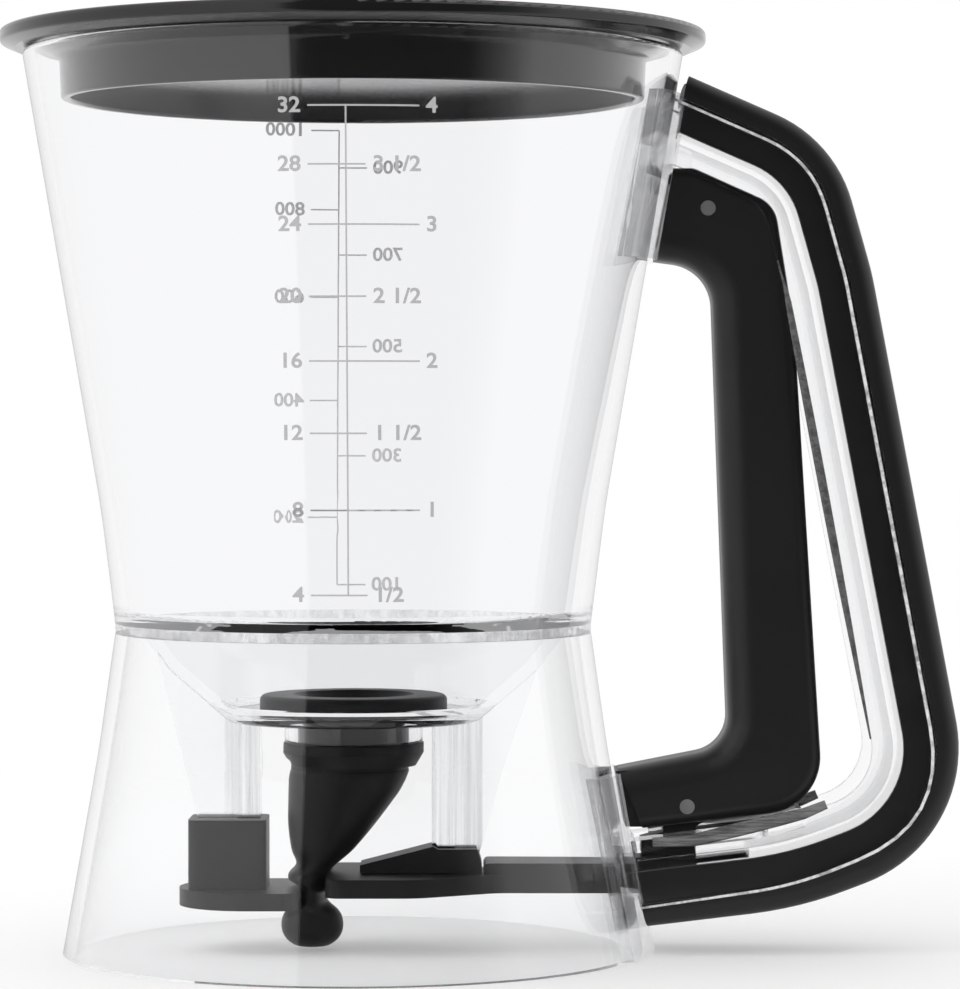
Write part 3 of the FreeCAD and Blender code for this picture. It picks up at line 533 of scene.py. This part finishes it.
def handle_path(inset):
    """Points along the handle's outer line, drawn in by an inset, in millimetres."""
    corners = [Vector((x, 0.0, z)) for x, z, _ in HANDLE_CORNERS]
    ways = [(b - a).normalized() for a, b in zip(corners, corners[1:])]
    inner = [Vector((way.z, 0.0, -way.x)) for way in ways]
    points = [corners[0] + inner[0] * inset]
    for corner, before, after, normal, (_, _, radius) in zip(
            corners[1:], ways, ways[1:], inner, HANDLE_CORNERS[1:]):
        lean = math.tan(before.angle(after) / 2)
        turned = corner + (normal - before * lean) * inset
        reach = (radius - inset) * lean
        start, end = turned - before * reach, turned + after * reach
        points += straight(points[-1], start)
        for step in range(1, CORNER_STEPS + 1):
            t = step / CORNER_STEPS
            points.append(start * (1 - t) ** 2 + turned * 2 * t * (1 - t) + end * t * t)
    return points + straight(points[-1], corners[-1] + inner[-1] * inset)


def straight(start, end):
    """Even points on a straight line, without its start."""
    steps = max(1, round((end - start).length / HANDLE_STEP))
    return [start.lerp(end, step / steps) for step in range(1, steps + 1)]


def glint_path(sizes):
    """The painted glint's line between the cup and the skirt, which nears the outer line along the bottom.
    """
    path = []
    for point in handle_path(sizes.glint_inset):
        at_bottom = point.z < HANDLE_BOTTOM
        if point.x > (GLINT_SKIRT_END if at_bottom else GLINT_CUP_END):
            if at_bottom:
                point.z -= sizes.glint_drop * max(0.0, DROP_START - point.x) / DROP_LENGTH
            path.append(point)
    return path


def floor_path():
    """The line of the slotted floor's side edge."""
    knots = [Vector((x, 0.0, z)) for x, z in FLOOR_EDGE]
    return [point for start, end in zip(knots, knots[1:]) for point in straight(start, end)]


def bead(bm, path, side, half_wide, level, half_tall, taper):
    """A slim rounded bead along a path, on one side face of the handle, thinner at its ends by a taper."""
    rings = []
    for place, (before, here, after) in enumerate(zip(path[:1] + path, path, path[1:] + path[-1:])):
        along = (after - before).normalized()
        swell = 1.0 - taper * (1.0 - math.sin(math.pi * place / (len(path) - 1)))
        across = Vector((along.z, 0.0, -along.x)) * half_wide * swell
        ring = []
        for step in range(BEAD_SIDES):
            turn = math.tau * step / BEAD_SIDES
            proud = Vector((0.0, side * (level + half_tall * math.sin(turn)), 0.0))
            ring.append(bm.verts.new((here + across * math.cos(turn) + proud) * MM))
        rings.append(ring)
    join_rings(bm, rings)


def flat_bar(bm, left, right, low, high, thickness):
    """A closed flat bar of print, cut into short lengths so that it can bend."""
    steps = max(1, round((right - left) / PRINT_STEP))
    rings = []
    for step in range(steps + 1):
        x = left + (right - left) * step / steps
        corners = ((0.0, low), (thickness, low), (thickness, high), (0.0, high))
        rings.append([bm.verts.new((x, y, z)) for y, z in corners])
    join_rings(bm, rings)


def upright_bar(bm, centre, width, low, high, thickness):
    """The long upright line of a scale, cut into short lengths so that it can follow the cup's bend."""
    for piece in range(UPRIGHT_PIECES):
        foot = low + (high - low) * piece / UPRIGHT_PIECES
        head = low + (high - low) * (piece + 1) / UPRIGHT_PIECES
        flat_bar(bm, centre - width / 2, centre + width / 2, foot, head, thickness)


def number_mesh(text, align, across, height, settings):
    """A printed number as a thin solid, standing in the XZ plane."""
    thickness = settings.ink_thickness
    curve = bpy.data.curves.new("digits", "FONT")
    curve.body = text
    curve.size = settings.digit_size
    curve.align_x = align
    curve.align_y = "CENTER"
    curve.offset = settings.digit_weight
    curve.extrude = thickness / 2
    curve.resolution_u = 5
    carrier = bpy.data.objects.new("digits", curve)
    mesh = bpy.data.meshes.new_from_object(carrier)
    bpy.data.objects.remove(carrier)
    bpy.data.curves.remove(curve)
    for vertex in mesh.vertices:
        x, y, z = vertex.co
        vertex.co = (across + x * settings.digit_stretch, thickness / 2 - z, height + y)
    return mesh


def print_piece(name, side, upright, ticks, numbers, ink, settings):
    """Lines and numbers of one printed scale, joined and wrapped on the front or back of the cup."""
    bm = bmesh.new()
    half = settings.line_width / 2
    centre, low, high = upright
    upright_bar(bm, centre, settings.line_width, low, high, settings.ink_thickness)
    for left, right, height in ticks:
        flat_bar(bm, left, right, height - half, height + half, settings.ink_thickness)
    for number in numbers:
        mesh = number_mesh(*number, settings)
        bm.from_mesh(mesh)
        bpy.data.meshes.remove(mesh)
    piece = finished_piece(bm, name, ink)
    wrap_on_cup(piece.data, side, settings.ink_proud)
    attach(piece, "root")


class FinishSettings(bpy.types.PropertyGroup):
    """Colours of the dispenser's plastics, rubber, steel and ink."""

    clear_tint: FloatVectorProperty(
        name="Clear Plastic", description="Tint of the clear plastic seen face on", subtype="COLOR",
        default=(0.985, 0.988, 0.99), min=0.0, max=1.0)
    # Painted shade: the colour the clear plastic darkens to where it is seen edge on.
    clear_edge: FloatVectorProperty(
        name="Clear Edge", description="Tint of the clear plastic seen edge on", subtype="COLOR",
        default=(0.74, 0.75, 0.76), min=0.0, max=1.0)
    clear_shadow: FloatVectorProperty(
        name="Clear Shadow", description="How much light a clear wall lets through to what is behind it",
        subtype="COLOR", default=(0.97, 0.972, 0.975), min=0.0, max=1.0)
    # Painted shade: the grey outline where a clear wall curves out of sight.
    outline: FloatVectorProperty(
        name="Outline", description="What a clear wall lets through where it curves out of sight",
        subtype="COLOR", default=(0.22, 0.22, 0.225), min=0.0, max=1.0)
    black: FloatVectorProperty(
        name="Black Plastic", description="Colour of the lid and the valve mechanism", subtype="COLOR",
        default=(0.0085, 0.0085, 0.009), min=0.0, max=1.0)
    grip: FloatVectorProperty(
        name="Grip", description="Colour of the soft grip and trigger", subtype="COLOR",
        default=(0.0075, 0.0075, 0.0078), min=0.0, max=1.0)
    silicone: FloatVectorProperty(
        name="Silicone", description="Colour of the valve", subtype="COLOR",
        default=(0.006, 0.006, 0.0062), min=0.0, max=1.0)
    steel: FloatVectorProperty(
        name="Pins", description="Colour of the pins and spring", subtype="COLOR",
        default=(0.42, 0.42, 0.43), min=0.0, max=1.0)
    ink: FloatVectorProperty(
        name="Ink", description="Colour of the printed scale on the front", subtype="COLOR",
        default=(0.47, 0.47, 0.475), min=0.0, max=1.0)
    # Painted light: the back scale's ink is made lighter than the front's, to make up for the shade it gets
    # inside the cup.
    back_ink: FloatVectorProperty(
        name="Back Ink", description="Colour of the metric scale, which is read through the cup",
        subtype="COLOR", default=(0.85, 0.85, 0.855), min=0.0, max=1.0)


class ScaleSettings(bpy.types.PropertyGroup):
    """Sizes of the printed scales."""

    line_width: FloatProperty(
        name="Line Width", description="Width of a printed line", default=0.32 * MM, min=0.0, unit="LENGTH")
    digit_size: FloatProperty(
        name="Digit Size", description="Height of a line of digits", default=4.0 * MM, min=0.0,
        unit="LENGTH")
    digit_weight: FloatProperty(
        name="Digit Weight", description="How much each stroke is thickened", default=0.09 * MM,
        unit="LENGTH")
    digit_stretch: FloatProperty(
        name="Digit Stretch", description="How much wider than the font's the digits are", default=1.12,
        min=0.1)
    ink_thickness: FloatProperty(
        name="Ink Thickness", description="Thickness of the printed ink", default=0.1 * MM, unit="LENGTH")
    ink_proud: FloatProperty(
        name="Ink Proud", description="How far the ink stands out of the cup", default=0.04 * MM,
        unit="LENGTH")
    front_shift: FloatProperty(
        name="Front Shift", description="How far the front scale's line is off the middle", default=0.5 * MM,
        unit="LENGTH")
    tick_start: FloatProperty(
        name="Tick Start", description="Left end of the front ticks", default=-6.7 * MM, unit="LENGTH")
    short_tick_end: FloatProperty(
        name="Short Tick End", description="Right end of a half-cup tick", default=4.2 * MM, unit="LENGTH")
    long_tick_end: FloatProperty(
        name="Long Tick End", description="Right end of a whole-cup tick", default=14.4 * MM, unit="LENGTH")
    number_gap: FloatProperty(
        name="Number Gap", description="Space between a tick and its number", default=1.3 * MM,
        unit="LENGTH")
    back_shift: FloatProperty(
        name="Back Shift", description="How far the back scale's line is off the middle", default=5.1 * MM,
        unit="LENGTH")
    back_tick: FloatProperty(
        name="Back Tick", description="Length of a tick on the back scale", default=6.2 * MM, unit="LENGTH")


class FrameSettings(bpy.types.PropertyGroup):
    """Lines of painted light and shade along the handle frame's edges, in millimetres."""

    # The bright edge is a painted glint.
    glint_inset: FloatProperty(
        name="Glint Inset", description="From the handle's outer line to the bright edge", default=5.7)
    glint_width: FloatProperty(name="Glint Width", description="Width of the bright edge", default=0.75)
    glint_drop: FloatProperty(
        name="Glint Drop", description="How far the bright edge nears the outer line along the bottom",
        default=1.3)
    # Painted shade: the dark inner edge is a painted dark streak.
    lip_inset: FloatProperty(
        name="Lip Inset", description="From the handle's outer line to the dark inner edge", default=17.8)
    lip_width: FloatProperty(name="Lip Width", description="Width of the dark inner edge", default=1.8)
    # Painted shade: the slotted floor's edge line is a line of painted shade.
    floor_width: FloatProperty(
        name="Floor Width", description="Width of the slotted floor's edge", default=2.8)


class StageSettings(bpy.types.PropertyGroup):
    """The camera, the floor and the light."""

    camera_place: FloatVectorProperty(
        name="Camera", description="Where the camera stands", subtype="XYZ",
        default=(0.02567, -0.842, 0.1064))
    camera_pitch: FloatProperty(
        name="Pitch", description="How far the camera looks down", subtype="ANGLE",
        default=math.radians(0.946))
    focal_length: FloatProperty(
        name="Lens", description="Focal length for a 36 mm frame on the long side, in millimetres",
        default=151.06)
    floor_size: FloatProperty(
        name="Floor", description="Half width of the floor", default=3.0, unit="LENGTH")
    fade_start: FloatProperty(
        name="Fade Start", description="Where the floor begins to fade to plain white", default=0.2,
        unit="LENGTH")
    fade_end: FloatProperty(
        name="Fade End", description="Where the floor is plain white", default=0.45, unit="LENGTH")
    box_edge: FloatProperty(
        name="Soft Box Edge", default=-0.376,
        description="Right edge of the soft box on the left, as metres across a metre ahead")
    key_power: FloatProperty(
        name="Key Light", description="Power of the soft light on the left, in watts", default=5.0)


class DISPENSER_OT_clear_body(bpy.types.Operator):
    """Finish the clear cup, skirt, fins, saddles and handle frame."""

    bl_idname = "dispenser.clear_body"
    bl_label = "Clear Body"

    def execute(self, context):
        look = context.scene.dispenser_finish
        turned = {"edge_power": 5.0, "edge": 0.3, "outline": 0.6}
        dress(clear_plastic(look, "cup_clear", plain_above=CUP_PLAIN_ABOVE, **turned), "cup")
        dress(clear_plastic(look, "skirt_clear", **turned), "skirt")
        dress(fin_clear(look), "left_fin", "right_fin")
        dress(clear_plastic(look, "handle_clear", edge_power=3.0, ripple=0.08, thin=0.25), "handle_frame")
        dress(clear_plastic(look, "saddle_clear", edge_power=3.0, ripple=0.2, thin=0.6),
              "upper_saddle", "lower_saddle")
        dress(rough_weld(look), "waist_ring")
        return {"FINISHED"}


class DISPENSER_OT_rim_lines(bpy.types.Operator):
    """Add lines of painted light and shade to the clear handle frame: a painted glint beside the grip, a
    painted dark streak inside it and a line of painted shade along the slotted floor."""

    bl_idname = "dispenser.rim_lines"
    bl_label = "Frame Edges"

    def execute(self, context):
        sizes = context.scene.dispenser_frame
        streak_path = [point for point in handle_path(sizes.lip_inset) if DARK_STREAK_LOW < point.z < DARK_STREAK_HIGH]
        # A painted highlight for the glint, a painted dark streak, and painted shade along the floor's edge.
        self.add_line("frame_glint", glint_path(sizes), (-1, 1), sizes.glint_width, GLINT_BEAD,
                      rim_gloss("glint_edge", pale=0.8, dark=0.3))
        self.add_line("painted_dark_streak", streak_path, (-1,), sizes.lip_width, DARK_STREAK_BEAD,
                      rim_gloss("dark_streak_shade", pale=0.12, dark=0.06))
        self.add_line("floor_shade_line", floor_path(), (-1, 1), sizes.floor_width, FLOOR_SHADE_BEAD,
                      rim_gloss("floor_edge_shade", pale=0.2, dark=0.025, stretch=(0.12, 1.0, 2.0)))
        return {"FINISHED"}

    def add_line(self, name, path, sides, width, shape, material):
        bm = bmesh.new()
        for side in sides:
            bead(bm, path, side, width / 2, **shape)
        piece = finished_piece(bm, name, material, smooth=True)
        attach(piece, "root")


class DISPENSER_OT_lid(bpy.types.Operator):
    """Finish the press-in lid."""

    bl_idname = "dispenser.lid"
    bl_label = "Lid"

    def execute(self, context):
        look = context.scene.dispenser_finish
        dress(black_plastic(look, "lid_plastic", grain=1400.0, depth=0.02, rough=(0.08, 0.16)), "lid")
        return {"FINISHED"}


class DISPENSER_OT_grips(bpy.types.Operator):
    """Finish the outer grip and the trigger, and add the tongue in the trigger's lower end."""

    bl_idname = "dispenser.grips"
    bl_label = "Grips"

    def execute(self, context):
        rubber = soft_rubber(context.scene.dispenser_finish)
        dress(rubber, "handle_grip", "trigger")
        bm = bmesh.new()
        sides = (-TONGUE_HALF_WIDTH, TONGUE_HALF_WIDTH)
        join_rings(bm, [[bm.verts.new((x * MM, y * MM, z * MM)) for x, z in TONGUE_OUTLINE] for y in sides])
        tongue = finished_piece(bm, "trigger_tongue", rubber)
        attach(tongue, "trigger_arm")
        return {"FINISHED"}


class DISPENSER_OT_pins(bpy.types.Operator):
    """Finish the two pins and the return spring."""

    bl_idname = "dispenser.pins"
    bl_label = "Pins and Spring"

    def execute(self, context):
        dress(pin_steel(context.scene.dispenser_finish), "pivot_pin", "link_pin", "return_spring")
        return {"FINISHED"}


class DISPENSER_OT_mechanism(bpy.types.Operator):
    """Finish the slide, its guide and the fixed jaw."""

    bl_idname = "dispenser.mechanism"
    bl_label = "Slide and Jaw"

    def execute(self, context):
        look = context.scene.dispenser_finish
        dress(black_plastic(look, "slide_plastic", grain=700.0, depth=0.2, rough=(0.34, 0.5), gloss=0.25),
              "slide_bar", "slide_guide", "fixed_jaw")
        return {"FINISHED"}


class DISPENSER_OT_valve(bpy.types.Operator):
    """Finish the silicone valve and give it a smooth skin, pinched between the slide and the jaw."""

    bl_idname = "dispenser.valve"
    bl_label = "Valve"

    def execute(self, context):
        rubber = silicone(context.scene.dispenser_finish)
        dress(rubber, "valve")
        bm = bmesh.new()
        rings = []
        for step in range(RINGS_PER_ROW * (len(VALVE_SKIN) - 1) + 1):
            height, middle, wide, deep = smooth_row(VALVE_SKIN, step / RINGS_PER_ROW)
            ring = []
            for corner in range(SKIN_SIDES):
                turn = math.tau * corner / SKIN_SIDES
                place = Vector((middle + wide * math.cos(turn), deep * math.sin(turn), height))
                ring.append(bm.verts.new(place * MM))
            rings.append(ring)
        join_rings(bm, rings)
        skin = finished_piece(bm, "valve_skin", rubber, smooth=True)
        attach(skin, "root")
        return {"FINISHED"}


class DISPENSER_OT_scales(bpy.types.Operator):
    """Print the cup scale on the front and the metric scale on the back."""

    bl_idname = "dispenser.scales"
    bl_label = "Printed Scales"

    def execute(self, context):
        self.print_front(context.scene.dispenser_scale, context.scene.dispenser_finish)
        self.print_back(context.scene.dispenser_scale, context.scene.dispenser_finish)
        return {"FINISHED"}

    def print_front(self, settings, look):
        ticks = []
        numbers = []
        for left, right, level in FRONT_MARKS:
            height = level * MM
            end = settings.short_tick_end if "/" in right else settings.long_tick_end
            ticks.append((settings.tick_start, end, height))
            numbers.append((left, "RIGHT", settings.tick_start - settings.number_gap, height))
            numbers.append((right, "LEFT", end + settings.number_gap, height))
        upright = (settings.front_shift, FRONT_MARKS[-1][-1] * MM, FRONT_MARKS[0][-1] * MM)
        ink = scale_ink("scale_ink", look.ink)
        print_piece("front_scale", 1, upright, ticks, numbers, ink, settings)

    def print_back(self, settings, look):
        ticks = []
        numbers = []
        for amount, level in BACK_MARKS:
            height = level * MM
            away = 1 if amount // 100 % 2 == 0 else -1
            left, right = sorted((settings.back_shift, settings.back_shift + away * settings.back_tick))
            ticks.append((left, right, height))
            edge = settings.back_shift + away * (settings.back_tick + settings.number_gap)
            numbers.append((str(amount), "LEFT" if away > 0 else "RIGHT", edge, height))
        upright = (settings.back_shift, BACK_MARKS[-1][-1] * MM, BACK_MARKS[0][-1] * MM)
        # Painted light: a lighter copy of the ink, making up for the shade inside the cup.
        ink = scale_ink("back_ink", look.back_ink)
        print_piece("back_scale", -1, upright, ticks, numbers, ink, settings)


def reflected_dark(s, right, ahead, settings):
    """Where a reflected ray looks into the dark room in front, between the soft box and the right side."""
    slope = right / (0.0 - ahead)
    open_side = s.ramp((slope - OPEN_SIDE_START) / (OPEN_SIDE_END - OPEN_SIDE_START), (0.0, 1.0), (1.0, 0.0))
    path = s.node("ShaderNodeLightPath")
    once = (path.out("Glossy Depth") > 0.5) * (path.out("Glossy Depth") < 1.5)
    near_wall = path.out("Transmission Depth") < ROOM_CROSSINGS
    return (ahead < 0.0) * (slope > settings.box_edge) * open_side * once * near_wall


def studio_world(settings):
    """White all round, but dark in front for reflections, so that black parts stay black."""
    world = bpy.data.worlds.new("studio")
    bpy.context.scene.world = world
    s = Shader(world)
    way = s.split(s.place("Generated"))
    dark = reflected_dark(s, way.out("X"), way.out("Y"), settings)
    light = {"Color": rgb((1.0, 1.0, 1.0)), "Strength": 1.0 - dark * ROOM_DARKNESS}
    return s.finish(s.node("ShaderNodeBackground", None, light), "ShaderNodeOutputWorld")


def floor_material(settings):
    """Pale floor that keeps the object's shadow near it and fades to plain white further out."""
    s = new_shader("floor")
    place = s.place()
    distance = s.node("ShaderNodeVectorMath", {"operation": "LENGTH"}, {0: place}).out("Value")
    fade = s.ramp((distance - settings.fade_start) / (settings.fade_end - settings.fade_start),
                  (0.0, 0.3), (1.0, 1.0))
    grain = s.noise(scale=60.0, detail=3.0)
    paper = s.principled(
        Base_Color=s.blend(grain, rgb((0.965, 0.965, 0.968)), rgb((0.98, 0.98, 0.98))),
        Roughness=0.75)
    spot = s.split(place)
    room = reflected_dark(s, spot.out("X") - CUP_FRONT[0], spot.out("Y") - CUP_FRONT[1], settings)
    white = s.emission((1.0, 1.0, 1.0))
    dark = s.emission((0.03, 0.03, 0.03))
    return s.finish(s.mix(room, s.mix(fade, paper, white), dark))


class DISPENSER_OT_stage(bpy.types.Operator):
    """Make the floor, the camera and the light."""

    bl_idname = "dispenser.stage"
    bl_label = "Stage"

    def execute(self, context):
        settings = context.scene.dispenser_stage
        self.make_floor(context, settings)
        self.make_camera(context, settings)
        self.make_light(context, settings)
        studio_world(settings)
        context.scene.view_settings.view_transform = "Standard"
        return {"FINISHED"}

    def make_floor(self, context, settings):
        bm = bmesh.new()
        bmesh.ops.create_grid(
            bm, x_segments=FLOOR_SQUARES, y_segments=FLOOR_SQUARES, size=settings.floor_size)
        mesh = bpy.data.meshes.new("floor")
        bm.to_mesh(mesh)
        bm.free()
        mesh.materials.append(floor_material(settings))
        floor = bpy.data.objects.new("floor", mesh)
        context.scene.collection.objects.link(floor)

    def make_camera(self, context, settings):
        data = bpy.data.cameras.new("camera")
        data.lens = settings.focal_length
        camera = bpy.data.objects.new("camera", data)
        camera.location = settings.camera_place
        camera.rotation_euler = (math.radians(90.0) - settings.camera_pitch, 0.0, 0.0)
        context.scene.collection.objects.link(camera)
        context.scene.camera = camera

    def make_light(self, context, settings):
        data = bpy.data.lights.new("key", "AREA")
        data.shape = "RECTANGLE"
        data.size = KEY_WIDTH
        data.size_y = KEY_HEIGHT
        data.energy = settings.key_power
        key = bpy.data.objects.new("key", data)
        key.location = KEY_PLACE
        key.rotation_euler = (KEY_AIM - KEY_PLACE).to_track_quat("-Z", "Y").to_euler()
        key.visible_glossy = False
        context.scene.collection.objects.link(key)


class DISPENSER_PT_panel(bpy.types.Panel):
    """Lists the settings and the operators in the sidebar."""

    bl_label = "Dispenser"
    bl_idname = "DISPENSER_PT_panel"
    bl_space_type = "VIEW_3D"
    bl_region_type = "UI"
    bl_category = "Dispenser"

    def draw(self, context):
        scene = context.scene
        for topic in ("finish", "scale", "frame", "stage"):
            group = getattr(scene, "dispenser_" + topic)
            box = self.layout.box()
            for key in group.__annotations__:
                box.prop(group, key)
        for operator in OPERATORS:
            self.layout.operator(operator.bl_idname)


OPERATORS = (
    DISPENSER_OT_clear_body,
    DISPENSER_OT_rim_lines,
    DISPENSER_OT_lid,
    DISPENSER_OT_grips,
    DISPENSER_OT_pins,
    DISPENSER_OT_mechanism,
    DISPENSER_OT_valve,
    DISPENSER_OT_scales,
    DISPENSER_OT_stage,
)
CLASSES = (FinishSettings, ScaleSettings, FrameSettings, StageSettings, *OPERATORS, DISPENSER_PT_panel)


def register():
    for item in CLASSES:
        bpy.utils.register_class(item)
    bpy.types.Scene.dispenser_finish = PointerProperty(type=FinishSettings)
    bpy.types.Scene.dispenser_scale = PointerProperty(type=ScaleSettings)
    bpy.types.Scene.dispenser_frame = PointerProperty(type=FrameSettings)
    bpy.types.Scene.dispenser_stage = PointerProperty(type=StageSettings)


def unregister():
    del bpy.types.Scene.dispenser_stage
    del bpy.types.Scene.dispenser_frame
    del bpy.types.Scene.dispenser_scale
    del bpy.types.Scene.dispenser_finish
    for item in reversed(CLASSES):
        bpy.utils.unregister_class(item)


def main():
    register()
    for operator in OPERATORS:
        family, action = operator.bl_idname.split(".")
        getattr(getattr(bpy.ops, family), action)()


if __name__ == "__main__":
    main()
